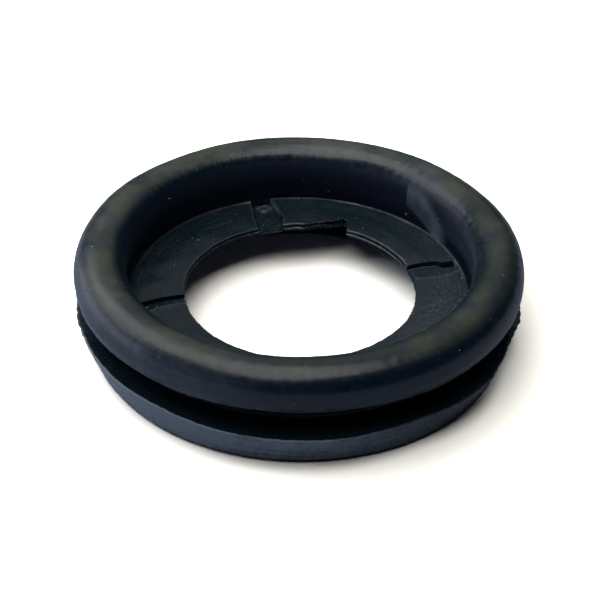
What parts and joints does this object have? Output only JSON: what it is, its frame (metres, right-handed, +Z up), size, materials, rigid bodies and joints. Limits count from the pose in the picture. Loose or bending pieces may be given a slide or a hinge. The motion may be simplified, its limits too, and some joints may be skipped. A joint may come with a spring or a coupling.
{
  "type": "gasket",
  "caption": "Round rubber gasket with a rounded top bead, an outside panel groove, a tapered foot flange and a thin torn web with a large round hole.",
  "frame": {"origin": "on the axis, in the plane of the foot that it stands on", "axes": "+Z up along the axis, from the foot flange to the rounded bead; +X to the right and +Y to the back as the picture shows it, with the broken gap in the web at the back"},
  "size_m": [0.05, 0.05, 0.0124],
  "materials": {
    "moulded_rubber": "aged black moulded rubber, satin, dusty on top"
  },
  "bodies": {
    "root": {"gasket": "moulded_rubber"}
  },
  "joints": []
}
